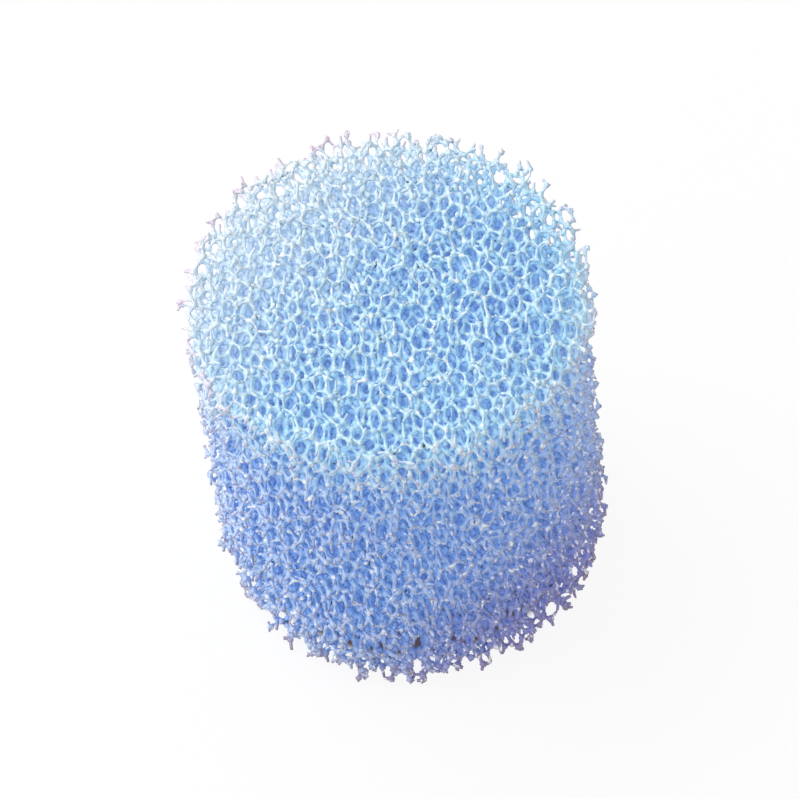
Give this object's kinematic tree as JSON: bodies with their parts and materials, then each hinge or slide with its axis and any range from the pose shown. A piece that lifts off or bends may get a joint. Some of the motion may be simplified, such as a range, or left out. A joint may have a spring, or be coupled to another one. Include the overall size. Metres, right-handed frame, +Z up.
{
  "type": "filter sponge",
  "caption": "Cylindrical block of coarse open-cell filter foam, flat at both ends, pushed into a round filter chamber or stood on one end.",
  "frame": {"origin": "centre of the bottom face, on the surface that the block stands on", "axes": "+Z up along the cylinder's axis; the block is the same all round, so +X and +Y are any two directions across it"},
  "size_m": [0.05, 0.05, 0.05],
  "materials": {
    "filter_foam": "soft open-cell polyurethane filter foam, blue, with slightly glossy thin struts and see-through cells"
  },
  "bodies": {
    "root": {"foam_block": "filter_foam"}
  },
  "joints": []
}
